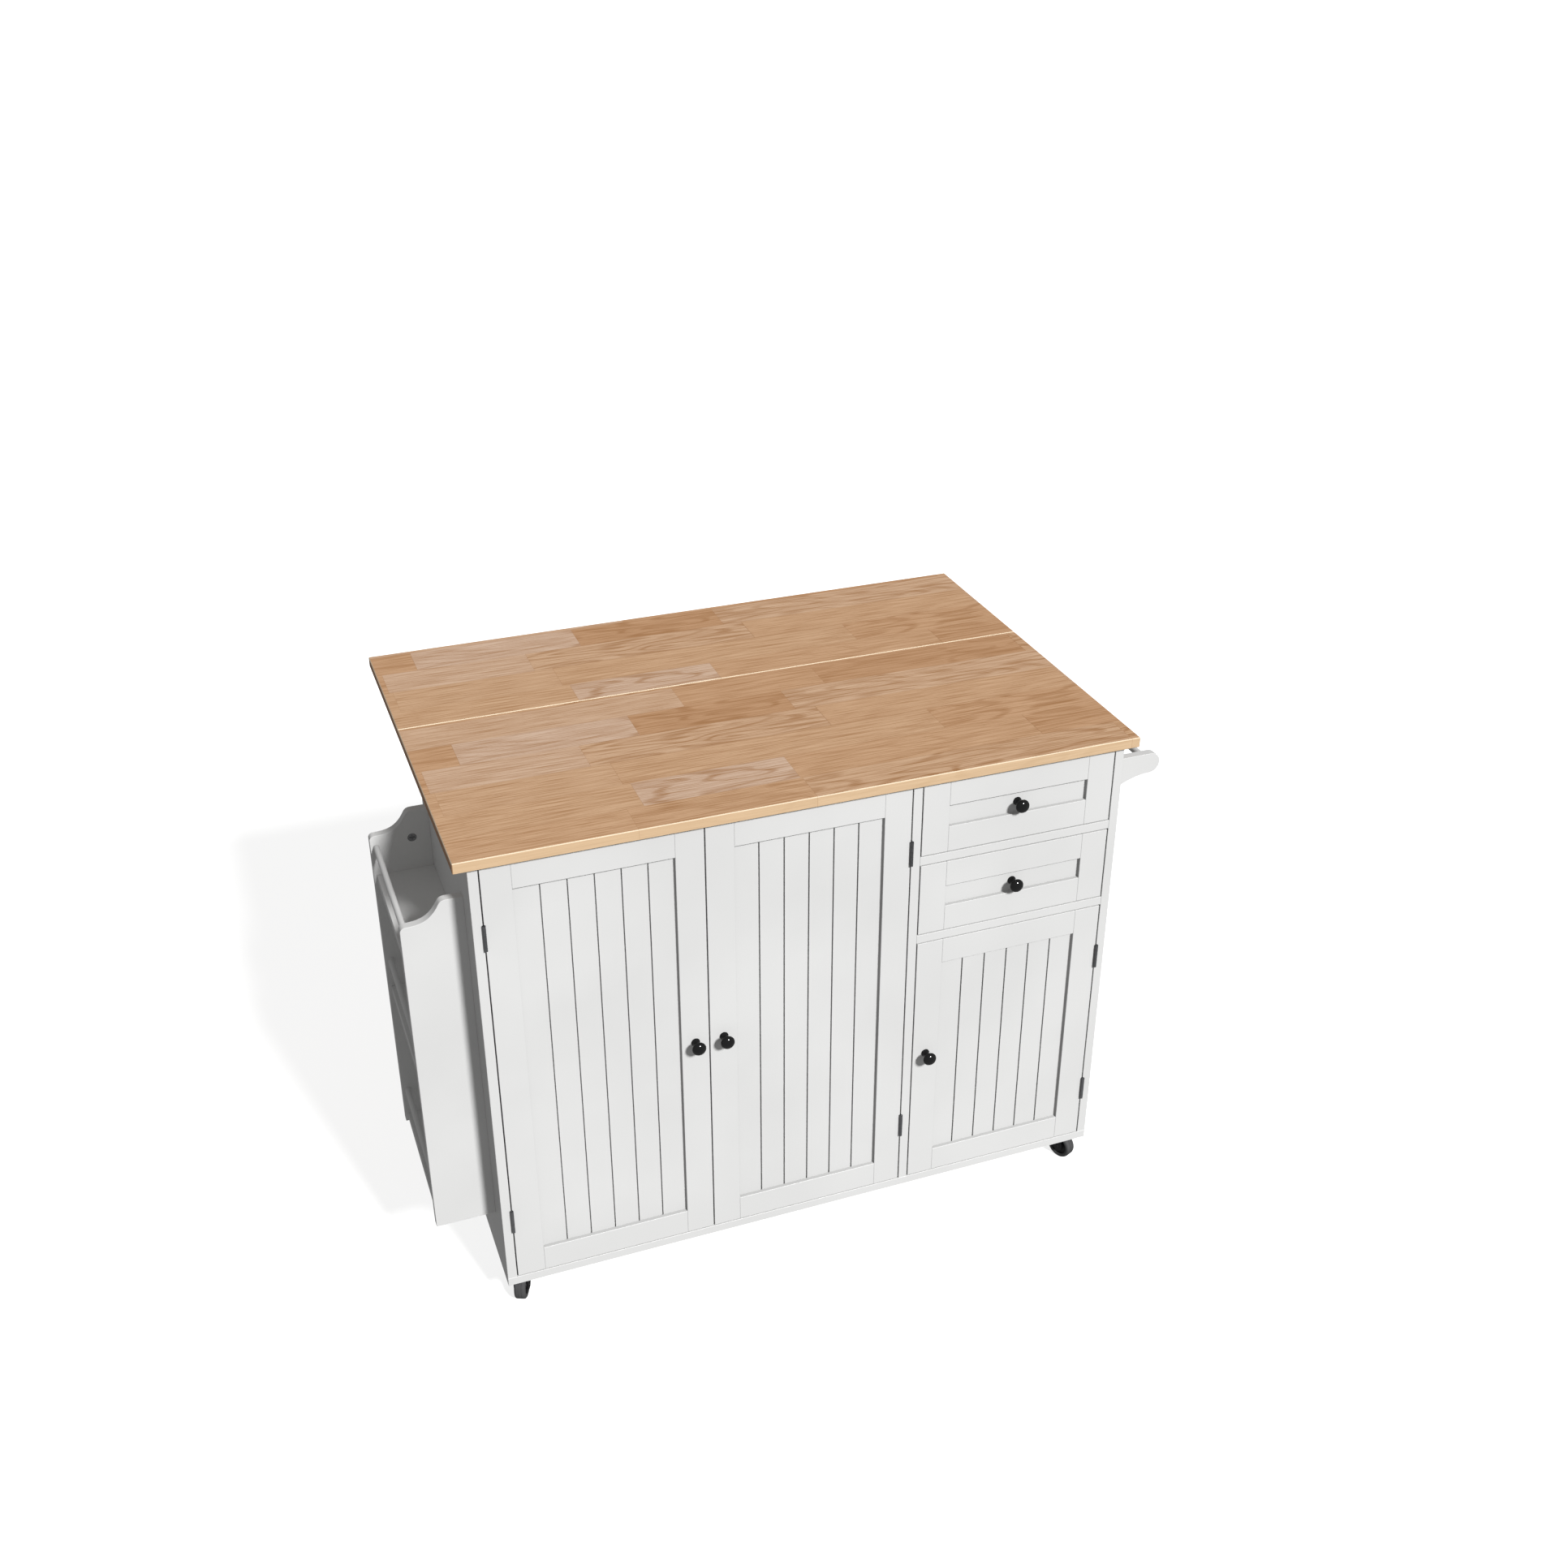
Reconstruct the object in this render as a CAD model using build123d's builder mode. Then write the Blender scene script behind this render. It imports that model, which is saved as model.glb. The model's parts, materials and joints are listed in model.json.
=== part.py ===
from build123d import *
import math
import os

# A rolling kitchen island: a boarded cabinet with three doors and two drawers under a
# butcher block top with a drop leaf at the back, a spice rack on its left side, a towel
# bar on its right side and four swivel casters.
# Millimetres. X to the right, Y to the back, Z up. The origin is on the floor, under the
# middle of the whole object.

# Cabinet
cabinet_width = 1110.0
cabinet_depth = 412.0
cabinet_height = 836.0        # underside of the bottom board to underside of the top
board = 16.0                  # sides, divider, bottom, rails and shelves
back_thickness = 12.0
left_bay = 709.0              # clear width behind the two tall doors
reveal = 2.0                  # gap around each inset door and drawer front
edge_ease = 0.5               # small bevel on every painted edge
rod_ease = 0.4                # small bevel on the ends of pins and rods
thin_ease = 0.2               # small bevel on thin metal
rail_depth = 60.0
stretcher_depth = 60.0
shelf_clearance = 0.5
shelf_setback = 40.0
left_shelf_heights = (282.0, 552.0)
right_shelf_height = 258.0
pin_radius = 2.5
pin_length = 16.0
pin_clearance = 0.05
pin_end_distance = 45.0

# Worktop
top_thickness = 18.5
top_side_overhang = 22.5
top_front_overhang = 10.0
fixed_top_depth = 461.0
leaf_depth = 310.0
seam_gap = 0.8
top_bevel = 1.2

# Framed doors and drawer fronts
front_thickness = 18.0
frame_width = 47.5
panel_thickness = 9.0
panel_recess = 7.0            # frame face to panel face
panel_tongue = 6.0            # part of the panel held in the frame's groove
beads = 6                     # boards that each door panel is divided into
bead_width = 2.4
bead_depth = 3.5
drawer_front_height = 134.5
right_knob_height = 291.0     # above the underside of the bottom board

# Knobs
knob_length = 27.5
knob_radius = 12.0
knob_flange_radius = 7.5
knob_flange = 1.5
knob_neck_radius = 4.5
knob_neck_height = 6.8        # heights above the face that the knob stands on
knob_throat_radius = 5.0
knob_throat_height = 12.4
knob_widest_height = 20.1
knob_crown_radius = 7.4
knob_crown_height = 26.3
knob_screw_radius = 2.0
knob_screw_head_radius = 4.5
knob_screw_head = 2.0
knob_screw_clearance = 0.1

# Butt hinges of the doors
barrel_radius = 2.75
barrel_offset = 3.0           # barrel axis in front of the cabinet's face
hinge_height = 46.0
hinge_knuckles = 5
knuckle_gap = 0.3
hinge_plate = 0.8
hinge_plate_depth = 20.0
hinge_pin_radius = 1.0
hinge_pin_clearance = 0.05
tall_hinge_distance = 124.0   # door end to hinge middle
short_hinge_distance = 105.0

# Magnetic catches
catch_size = (36.0, 22.0, 11.0)
strike_size = (24.0, 1.0, 10.0)
catch_gap = 0.3
catch_distance = 32.0         # door's free edge to catch middle

# Drawers
drawer_box_height = 92.0
drawer_box_depth = 350.0
drawer_box_lift = 12.0        # box bottom above the bottom of the drawer front
drawer_wall = 12.0
drawer_bottom = 5.0
drawer_bottom_lift = 8.0
drawer_groove = 6.0
runner_space = 13.0           # drawer box to cabinet wall
runner_height = 36.0
runner_reach = 10.0
runner_wall = 1.5
runner_gap = 0.5
runner_length = 340.0

# Spice rack
rack_projection = 101.0
rack_front_setback = 60.0
rack_inner_length = 278.0
rack_panel = 15.0
rack_bottom = 115.0           # above the underside of the bottom board
rack_high_drop = 84.0         # high and low ends below the underside of the top
rack_low_drop = 120.5
rack_corner = 8.0
rack_flat_top = 27.3          # level part of the top edge, from the cabinet
rack_curve = ((55.5, 0.26), (41.4, 0.72))     # out from the cabinet, share of the rise
rack_shelf = 15.0
rack_shelf_inset = 5.0
rack_lower_shelf_lift = 17.0  # shelf's face above the rack's bottom
rack_upper_shelf_drop = 111.0  # shelf's face below the rack's high end
rack_middle_shelf_lift = 27.5  # shelf's face above halfway between the other two
rod_above_shelf = 53.0
rod_radius = 5.0
rod_inset = 9.5
rod_seat = 8.0
rod_clearance = 0.05
cam_radius = 7.4
cam_depth = 12.0
cam_clearance = 0.2
cam_recess = 0.4
cam_distance = 31.0           # cabinet side to cam middle
cam_from_ends = 51.0
cam_slot_width = 1.8
cam_slot_length = 9.0
cam_slot_depth = 2.5
cam_ease = 0.5

# Towel bar
towel_projection = 84.5
towel_tip_radius = 18.5
towel_drop = 35.0             # brackets' flat top below the underside of the top
towel_wall_height = 57.0
towel_curve = (33.7, 0.26)    # out from the cabinet, share of the fall
towel_bracket = 15.0
towel_front_setback = 20.0
towel_span = 342.0
towel_bar_radius = 6.0
towel_bar_seat = 8.0
towel_bar_clearance = 0.05

# Hinges of the drop leaf
leaf_barrel_radius = 3.5
leaf_barrel_drop = 4.0        # barrel axis below the underside of the top
leaf_hinge_width = 60.0
leaf_hinge_reach = 32.0
leaf_hinge_plate = 1.6
leaf_plate_gap = 4.2
leaf_pin_radius = 1.5
leaf_hinge_end_distance = 120.0

# Folding supports of the drop leaf
support_end_distance = 250.0
wall_arm_width = 26.0
wall_arm_plate = 2.5
wall_arm_above = 60.0         # above and below the brace pivot
wall_arm_below = 60.0
leaf_arm_width = 22.0
leaf_arm_plate = 3.0
leaf_arm_start = 20.0
leaf_arm_end = 298.0
brace_pivot_drop = 110.0      # pivot below the leaf's hinge axis
brace_pivot_offset = 10.0     # pivot behind the cabinet's back
brace_length = 177.0
brace_thickness = 6.0
brace_end_radius = 6.5
brace_tip_radius = 3.6
brace_bar_radius = 4.0
brace_bar_length = 20.0
brace_pin_radius = 3.0
brace_pin_head_radius = 5.0
brace_pin_clearance = 0.05
brace_rest_gap = 0.3
ear_thickness = 2.0
ear_gap = 0.4
ear_radius = 8.0
screw_radius = 2.0
screw_head_radius = 4.0
screw_head = 1.6
screw_depth = 10.0
screw_clearance = 0.02
wall_screw_from_end = 12.0
wall_screw_from_pivot = 25.0
leaf_screw_from_end = 12.0
leaf_screws_in_arm = 4

# Casters
caster_height = 60.0
wheel_radius = 25.0
wheel_width = 20.0
wheel_edge = 4.0
caster_inset_x = 38.0
caster_inset_y = 55.0
caster_trail = 24.0
caster_turn = 66.0            # trailing direction, degrees from the X axis
caster_plate_size = (56.0, 44.0, 2.5)
caster_plate_corner = 5.0
race_radius = 13.0
race_height = 3.0
kingpin_radius = 4.0
kingpin_head_radius = 6.5
kingpin_head = 1.5
fork_gap = 0.5
fork_top = 3.2
fork_crown_margin = 2.0       # fork's round top beyond the bearing race
fork_head_round = 6.0
fork_head_reach = 10.0        # fork's shoulder ahead of the kingpin
fork_boss_radius = 9.0
cheek = 2.4
wheel_side_gap = 0.6
wheel_rim_gap = 1.2
axle_radius = 3.0
axle_clearance = 0.05
axle_head_radius = 4.5
axle_head = 1.2

# Key planes, from the sizes above
left_reach = max(rack_projection, top_side_overhang)
right_reach = max(towel_projection, top_side_overhang)
front_reach = max(knob_length, top_front_overhang, barrel_offset + barrel_radius)
seam_from_face = fixed_top_depth - top_front_overhang
overall_width = left_reach + cabinet_width + right_reach
overall_depth = front_reach + seam_from_face + leaf_depth
x_left = left_reach - overall_width / 2
x_right = x_left + cabinet_width
y_front = front_reach - overall_depth / 2
y_back = y_front + cabinet_depth
y_seam = y_front + seam_from_face
y_leaf_end = y_seam + leaf_depth
z_base = caster_height
z_top = z_base + cabinet_height
z_floor_board = z_base + board
x_bay_left = x_left + board
x_divider = x_bay_left + left_bay
x_bay_right = x_divider + board
x_bay_end = x_right - board
y_inner_back = y_back - back_thickness

tall_door_width = (left_bay - 3 * reveal) / 2
right_front_width = x_bay_end - x_bay_right - 2 * reveal
z_front_top = z_top - reveal
upper_drawer_bottom = z_front_top - drawer_front_height
upper_rail_bottom = upper_drawer_bottom - reveal - board
lower_drawer_bottom = upper_rail_bottom - reveal - drawer_front_height
lower_rail_bottom = lower_drawer_bottom - reveal - board
z_door_bottom = z_floor_board + reveal
z_right_door_top = lower_rail_bottom - reveal

leaf_axis_z = z_top - leaf_barrel_drop
brace_axis_y = y_back + brace_pivot_offset
brace_axis_z = leaf_axis_z - brace_pivot_drop
brace_tip_z = z_top - leaf_arm_plate - brace_bar_radius - brace_rest_gap
brace_rise = brace_tip_z - brace_axis_z
brace_run = math.sqrt(brace_length**2 - brace_rise**2)
brace_rest_angle = math.degrees(math.acos(brace_rise / brace_length))
brace_folded_run = y_seam + brace_tip_z - leaf_axis_z - brace_axis_y
brace_folded_angle = 180 - math.degrees(math.asin(brace_folded_run / brace_length))
brace_ratio = (brace_folded_angle - brace_rest_angle) / 90     # turn for each degree of the leaf

rack_high_end = cabinet_height - rack_high_drop
rack_low_end = cabinet_height - rack_low_drop
rack_lowest_shelf = rack_bottom + rack_lower_shelf_lift
rack_highest_shelf = rack_high_end - rack_upper_shelf_drop
rack_middle_shelf = (rack_lowest_shelf + rack_highest_shelf) / 2 + rack_middle_shelf_lift
rack_shelf_tops = (rack_lowest_shelf, rack_middle_shelf, rack_highest_shelf)

os.makedirs("parts", exist_ok=True)


def save(shape, name):
    shape.label = name
    export_step(shape, f"parts/{name}.step")


def group(name, pieces):
    # Separate solids of one kind, kept in one node
    save(Compound(children=list(pieces)), name)


def block(low, high, mode=Mode.ADD):
    # A rectangular block between two opposite corners, in the builder that calls it
    with Locations(tuple((a + b) / 2 for a, b in zip(low, high))):
        Box(*[b - a for a, b in zip(low, high)], mode=mode)


def rod(start, direction, radius, length, mode=Mode.ADD):
    # A round bar or hole that begins at a point and runs along a direction
    with Locations(Plane(origin=start, z_dir=direction)):
        Cylinder(radius, length, align=(Align.CENTER, Align.CENTER, Align.MIN), mode=mode)


def make_board(low, high, cuts=(), holes=(), ease=edge_ease):
    # A board with eased edges, rectangular cuts and round holes
    with BuildPart() as piece:
        block(low, high)
        chamfer(piece.edges(), ease)
        for cut_low, cut_high in cuts:
            block(cut_low, cut_high, Mode.SUBTRACT)
        for start, direction, radius, length in holes:
            rod(start, direction, radius, length, Mode.SUBTRACT)
    return piece.part


def make_rod(start, direction, radius, length, ease=rod_ease):
    with BuildPart() as piece:
        rod(start, direction, radius, length)
        chamfer(piece.edges().filter_by(GeomType.CIRCLE), ease)
    return piece.part


# ---- Carcass: boards around two bays

shelf_pin_hole = pin_radius + pin_clearance
pin_seat = pin_length / 2
pin_ys = (y_front + shelf_setback + pin_end_distance, y_inner_back - pin_end_distance)


def pin_places(face_x, direction, shelf_heights):
    return [
        ((face_x, y, z_base + height - pin_radius), direction)
        for height in shelf_heights
        for y in pin_ys
    ]


left_side_pins = pin_places(x_bay_left, (-1, 0, 0), left_shelf_heights)
divider_left_pins = pin_places(x_divider, (1, 0, 0), left_shelf_heights)
divider_right_pins = pin_places(x_bay_right, (-1, 0, 0), [right_shelf_height])
right_side_pins = pin_places(x_bay_end, (1, 0, 0), [right_shelf_height])


def pin_holes(places):
    depth = pin_seat + pin_clearance
    return [(start, direction, shelf_pin_hole, depth) for start, direction in places]


save(
    make_board(
        (x_left, y_front, z_floor_board),
        (x_bay_left, y_back, z_top),
        holes=pin_holes(left_side_pins),
    ),
    "side_left",
)
save(
    make_board(
        (x_bay_end, y_front, z_floor_board),
        (x_right, y_back, z_top),
        holes=pin_holes(right_side_pins),
    ),
    "side_right",
)
save(
    make_board(
        (x_divider, y_front, z_floor_board),
        (x_bay_right, y_inner_back, z_top),
        holes=pin_holes(divider_left_pins + divider_right_pins),
    ),
    "divider",
)
save(make_board((x_left, y_front, z_base), (x_right, y_back, z_floor_board)), "bottom_board")

bays = ((x_bay_left, x_divider), (x_bay_right, x_bay_end))
y_stretcher = y_front + front_thickness + reveal
stretcher_ys = ((y_stretcher, y_stretcher + stretcher_depth), (y_inner_back - stretcher_depth, y_inner_back))
group(
    "top_stretchers",
    [
        make_board((x0, y0, z_top - board), (x1, y1, z_top))
        for x0, x1 in bays
        for y0, y1 in stretcher_ys
    ],
)
group(
    "drawer_rails",
    [
        make_board((x_bay_right, y_front, z), (x_bay_end, y_front + rail_depth, z + board))
        for z in (upper_rail_bottom, lower_rail_bottom)
    ],
)


def make_shelf(x0, x1, height):
    z = z_base + height
    low = (x0 + shelf_clearance, y_front + shelf_setback, z)
    high = (x1 - shelf_clearance, y_inner_back - shelf_clearance, z + board)
    return make_board(low, high)


group("shelves_left", [make_shelf(*bays[0], height) for height in left_shelf_heights])
save(make_shelf(*bays[1], right_shelf_height), "shelf_right")
group(
    "shelf_pins",
    [
        make_rod(
            [a + pin_seat * b for a, b in zip(start, direction)],
            [-b for b in direction],
            pin_radius,
            pin_length,
        )
        for start, direction in left_side_pins + divider_left_pins + divider_right_pins + right_side_pins
    ],
)

# ---- Folding supports: places shared by the back panel, the leaf and the brackets

support_xs = (
    x_left - top_side_overhang + support_end_distance,
    x_right + top_side_overhang - support_end_distance,
)
z_wall_arm_low = brace_axis_z - wall_arm_below
z_wall_arm_high = brace_axis_z + wall_arm_above
wall_screw_zs = (
    z_wall_arm_low + wall_screw_from_end,
    brace_axis_z - wall_screw_from_pivot,
    brace_axis_z + wall_screw_from_pivot,
    z_wall_arm_high - wall_screw_from_end,
)
leaf_screw_start = y_seam + leaf_arm_start + leaf_screw_from_end
leaf_screw_pitch = (leaf_arm_end - leaf_arm_start - 2 * leaf_screw_from_end) / (leaf_screws_in_arm - 1)
leaf_screw_ys = [leaf_screw_start + k * leaf_screw_pitch for k in range(leaf_screws_in_arm)]
wall_screw_places = [((x, y_back, z), (0, -1, 0)) for x in support_xs for z in wall_screw_zs]
leaf_screw_places = [((x, y, z_top), (0, 0, 1)) for x in support_xs for y in leaf_screw_ys]


def pilot_holes(places):
    return [
        (start, direction, screw_radius + screw_clearance, screw_depth + screw_clearance)
        for start, direction in places
    ]


def make_screw(start, direction, plate):
    # A pan head screw through a plate: shank in the pilot hole, head on the plate's face
    back = [-b for b in direction]
    seat = [a + plate * b for a, b in zip(start, back)]
    tip = [a + screw_depth * b for a, b in zip(start, direction)]
    with BuildPart() as screw:
        rod(tip, back, screw_radius, screw_depth + plate)
        rod(seat, back, screw_head_radius, screw_head)
        top = screw.faces().sort_by(Axis(seat, tuple(back)))[-1]
        chamfer(top.edges(), screw_head / 2)
    return screw.part


save(
    make_board(
        (x_bay_left, y_inner_back, z_floor_board),
        (x_bay_end, y_back, z_top),
        holes=pilot_holes(wall_screw_places),
    ),
    "back_panel",
)

# ---- Butcher block top and drop leaf

x_top_left = x_left - top_side_overhang
x_top_right = x_right + top_side_overhang
z_top_face = z_top + top_thickness
save(
    make_board(
        (x_top_left, y_front - top_front_overhang, z_top),
        (x_top_right, y_seam - seam_gap / 2, z_top_face),
        ease=top_bevel,
    ),
    "fixed_top",
)
save(
    make_board(
        (x_top_left, y_seam + seam_gap / 2, z_top),
        (x_top_right, y_leaf_end, z_top_face),
        holes=pilot_holes(leaf_screw_places),
        ease=top_bevel,
    ),
    "drop_leaf",
)


# ---- Hinge knuckles: shared by the door hinges and the leaf hinges

def knuckle_spans(length, count):
    # Start and length of each knuckle along the barrel
    each = (length - (count - 1) * knuckle_gap) / count
    return [(k * (each + knuckle_gap), each) for k in range(count)]


leaf_hinge_xs = (
    x_top_left + leaf_hinge_end_distance,
    (x_left + x_right) / 2,
    x_top_right - leaf_hinge_end_distance,
)


def make_leaf_plate(middle_x, side, turns):
    # One half of a leaf hinge: side is -1 for the fixed top and 1 for the leaf
    x0 = middle_x - leaf_hinge_width / 2
    z0 = z_top - leaf_hinge_plate
    near, far = sorted((y_seam + side * leaf_plate_gap, y_seam + side * leaf_hinge_reach))
    tab_low, tab_high = sorted((y_seam + side, y_seam + side * leaf_plate_gap))
    spans = knuckle_spans(leaf_hinge_width, hinge_knuckles)
    with BuildPart() as plate:
        block((x0, near, z0), (x0 + leaf_hinge_width, far, z_top))
        for start, length in spans[turns::2]:
            block((x0 + start, tab_low, z0), (x0 + start + length, tab_high, z_top))
            rod((x0 + start, y_seam, leaf_axis_z), (1, 0, 0), leaf_barrel_radius, length)
        rod(
            (x0, y_seam, leaf_axis_z),
            (1, 0, 0),
            leaf_pin_radius + hinge_pin_clearance,
            leaf_hinge_width,
            Mode.SUBTRACT,
        )
    return plate.part


fixed_leaf_halves = [make_leaf_plate(x, -1, 0) for x in leaf_hinge_xs]
leaf_pins = [
    make_rod((x - leaf_hinge_width / 2, y_seam, leaf_axis_z), (1, 0, 0), leaf_pin_radius, leaf_hinge_width)
    for x in leaf_hinge_xs
]
group("leaf_hinge_fixed_halves", fixed_leaf_halves + leaf_pins)
group("leaf_hinge_moving_halves", [make_leaf_plate(x, 1, 1) for x in leaf_hinge_xs])

# ---- Folding supports

ear_inner = brace_thickness / 2 + ear_gap
ear_outer = ear_inner + ear_thickness


def make_wall_arm(x):
    # A plate on the cabinet's back with two ears for the brace's pivot
    half = wall_arm_width / 2
    y_plate = y_back + wall_arm_plate
    with BuildPart() as arm:
        block((x - half, y_back, z_wall_arm_low), (x + half, y_plate, z_wall_arm_high))
        with BuildSketch(Plane.YZ.offset(x - ear_outer)):
            with Locations((brace_axis_y, brace_axis_z)):
                Circle(ear_radius)
            with Locations(((y_back + brace_axis_y) / 2, brace_axis_z)):
                Rectangle(brace_pivot_offset, 2 * ear_radius)
        extrude(amount=2 * ear_outer)
        low = (x - ear_inner, y_plate, brace_axis_z - 2 * ear_radius)
        high = (x + ear_inner, brace_axis_y + 2 * ear_radius, brace_axis_z + 2 * ear_radius)
        block(low, high, Mode.SUBTRACT)
        start = (x - ear_outer, brace_axis_y, brace_axis_z)
        rod(start, (1, 0, 0), brace_pin_radius, 2 * ear_outer, Mode.SUBTRACT)
        for z in wall_screw_zs:
            rod((x, y_back, z), (0, 1, 0), screw_radius + screw_clearance, wall_arm_plate, Mode.SUBTRACT)
    return arm.part


def make_brace_pin(x):
    start = (x - ear_outer, brace_axis_y, brace_axis_z)
    with BuildPart() as pin:
        rod(start, (1, 0, 0), brace_pin_radius, 2 * ear_outer)
        rod(start, (-1, 0, 0), brace_pin_head_radius, screw_head)
        rod((x + ear_outer, brace_axis_y, brace_axis_z), (1, 0, 0), brace_pin_head_radius, screw_head)
    return pin.part


def make_leaf_arm(x):
    half = leaf_arm_width / 2
    z0 = z_top - leaf_arm_plate
    with BuildPart() as arm:
        block((x - half, y_seam + leaf_arm_start, z0), (x + half, y_seam + leaf_arm_end, z_top))
        corners = arm.edges().filter_by(Axis.Z)
        fillet(corners, half / 2)
        for y in leaf_screw_ys:
            rod((x, y, z0), (0, 0, 1), screw_radius + screw_clearance, leaf_arm_plate, Mode.SUBTRACT)
            rod((x, y, z0), (0, 0, 1), screw_head_radius + screw_clearance, screw_head, Mode.SUBTRACT)
    return arm.part


def make_leaf_screw(start, direction):
    # The leaf's screws sit flush in the arm, so that the brace's bar can pass them
    back = [-b for b in direction]
    tip = [a + screw_depth * b for a, b in zip(start, direction)]
    seat = (start[0], start[1], z_top - leaf_arm_plate)
    with BuildPart() as screw:
        rod(tip, back, screw_radius, screw_depth + leaf_arm_plate)
        rod(seat, direction, screw_head_radius, screw_head)
    return screw.part


def make_brace(x):
    # A flat steel link: round eye at the wall pivot, cross bar at the end under the leaf
    tip_y = brace_axis_y + brace_run
    with BuildPart() as brace:
        with BuildSketch(Plane.YZ.offset(x - brace_thickness / 2)):
            with Locations((brace_axis_y, brace_axis_z)):
                Circle(brace_end_radius)
            with Locations((tip_y, brace_tip_z)):
                Circle(brace_tip_radius)
            make_hull()
        extrude(amount=brace_thickness)
        rod((x - brace_bar_length / 2, tip_y, brace_tip_z), (1, 0, 0), brace_bar_radius, brace_bar_length)
        start = (x - brace_thickness / 2, brace_axis_y, brace_axis_z)
        hole = brace_pin_radius + brace_pin_clearance
        rod(start, (1, 0, 0), hole, brace_thickness, Mode.SUBTRACT)
    return brace.part


group("support_wall_arms", [make_wall_arm(x) for x in support_xs])
wall_screws = [make_screw(start, direction, wall_arm_plate) for start, direction in wall_screw_places]
group("support_pins_and_screws", [make_brace_pin(x) for x in support_xs] + wall_screws)
leaf_screws = [make_leaf_screw(start, direction) for start, direction in leaf_screw_places]
group("support_leaf_arms", [make_leaf_arm(x) for x in support_xs] + leaf_screws)
group("support_braces", [make_brace(x) for x in support_xs])


# ---- Framed doors and drawer fronts

def make_frame(x0, x1, z0, z1, holes=()):
    # Two full-height stiles with two rails between them, grooved for the panel
    y0 = y_front
    y1 = y_front + front_thickness
    g0 = y_front + panel_recess
    g1 = g0 + panel_thickness
    inner_x0 = x0 + frame_width
    inner_x1 = x1 - frame_width
    inner_z0 = z0 + frame_width
    inner_z1 = z1 - frame_width
    groove = panel_tongue
    groove_z = (inner_z0 - groove, inner_z1 + groove)
    left_cut = ((inner_x0 - groove, g0, groove_z[0]), (inner_x0, g1, groove_z[1]))
    right_cut = ((inner_x1, g0, groove_z[0]), (inner_x1 + groove, g1, groove_z[1]))
    low_cut = ((inner_x0, g0, inner_z0 - groove), (inner_x1, g1, inner_z0))
    high_cut = ((inner_x0, g0, inner_z1), (inner_x1, g1, inner_z1 + groove))
    left_holes = [hole for hole in holes if hole[0][0] < inner_x0]
    right_holes = [hole for hole in holes if hole[0][0] > inner_x1]
    return [
        make_board((x0, y0, z0), (inner_x0, y1, z1), [left_cut], left_holes),
        make_board((inner_x1, y0, z0), (x1, y1, z1), [right_cut], right_holes),
        make_board((inner_x0, y0, z0), (inner_x1, y1, inner_z0), [low_cut]),
        make_board((inner_x0, y0, inner_z1), (inner_x1, y1, z1), [high_cut]),
    ]


def make_panel(x0, x1, z0, z1, boards, holes=()):
    # A panel that fills the frame's grooves, with grooves between its boards
    edge = frame_width - panel_tongue
    y0 = y_front + panel_recess
    low = (x0 + edge, y0, z0 + edge)
    high = (x1 - edge, y0 + panel_thickness, z1 - edge)
    shown = x1 - x0 - 2 * frame_width
    with BuildPart() as panel:
        block(low, high)
        for k in range(1, boards):
            middle = x0 + frame_width + k * shown / boards
            groove_low = (middle - bead_width / 2, y0, low[2])
            groove_high = (middle + bead_width / 2, y0 + bead_depth, high[2])
            block(groove_low, groove_high, Mode.SUBTRACT)
        for start, direction, radius, length in holes:
            rod(start, direction, radius, length, Mode.SUBTRACT)
    return panel.part


def make_knob(x, y, z, behind):
    # A turned mushroom knob that stands out from a face, and its screw from behind
    with BuildPart() as knob:
        with BuildSketch(Plane(origin=(x, y, z), x_dir=(1, 0, 0), z_dir=(0, 0, -1))):
            with BuildLine():
                Line((0, 0), (knob_flange_radius, 0))
                Line((knob_flange_radius, 0), (knob_flange_radius, knob_flange))
                Spline(
                    (knob_flange_radius, knob_flange),
                    (knob_neck_radius, knob_neck_height),
                    (knob_throat_radius, knob_throat_height),
                    (knob_radius, knob_widest_height),
                    tangents=[(-1, 0.15), (0.15, 1)],
                )
                Spline(
                    (knob_radius, knob_widest_height),
                    (knob_crown_radius, knob_crown_height),
                    (0, knob_length),
                    tangents=[(0.0, 1), (-1, 0)],
                )
                Line((0, knob_length), (0, 0))
            make_face()
        revolve(axis=Axis((x, y, z), (0, -1, 0)))
        rod((x, y, z), (0, -1, 0), knob_screw_radius, knob_throat_height, Mode.SUBTRACT)
    with BuildPart() as screw:
        head_y = y + behind
        rod((x, head_y, z), (0, -1, 0), knob_screw_radius, behind + knob_throat_height)
        rod((x, head_y, z), (0, 1, 0), knob_screw_head_radius, knob_screw_head)
    return [knob.part, screw.part]


def make_hinge_half(x, x_plate, z_middle, turns):
    # x is the barrel's axis, x_plate the plate's middle, turns 0 on the case and 1 on the door
    z0 = z_middle - hinge_height / 2
    barrel_y = y_front - barrel_offset
    x0 = x_plate - hinge_plate / 2
    x1 = x_plate + hinge_plate / 2
    y_plate = y_front + edge_ease
    with BuildPart() as half:
        block((x0, y_plate, z0), (x1, y_front + hinge_plate_depth, z0 + hinge_height))
        for start, length in knuckle_spans(hinge_height, hinge_knuckles)[turns::2]:
            block((x0, barrel_y + barrel_radius / 2, z0 + start), (x1, y_plate, z0 + start + length))
            rod((x, barrel_y, z0 + start), (0, 0, 1), barrel_radius, length)
        hole = hinge_pin_radius + hinge_pin_clearance
        rod((x, barrel_y, z0), (0, 0, 1), hole, hinge_height, Mode.SUBTRACT)
    return half.part


def make_hinge_pin(x, z_middle):
    start = (x, y_front - barrel_offset, z_middle - hinge_height / 2)
    return make_rod(start, (0, 0, 1), hinge_pin_radius, hinge_height, thin_ease)


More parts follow.
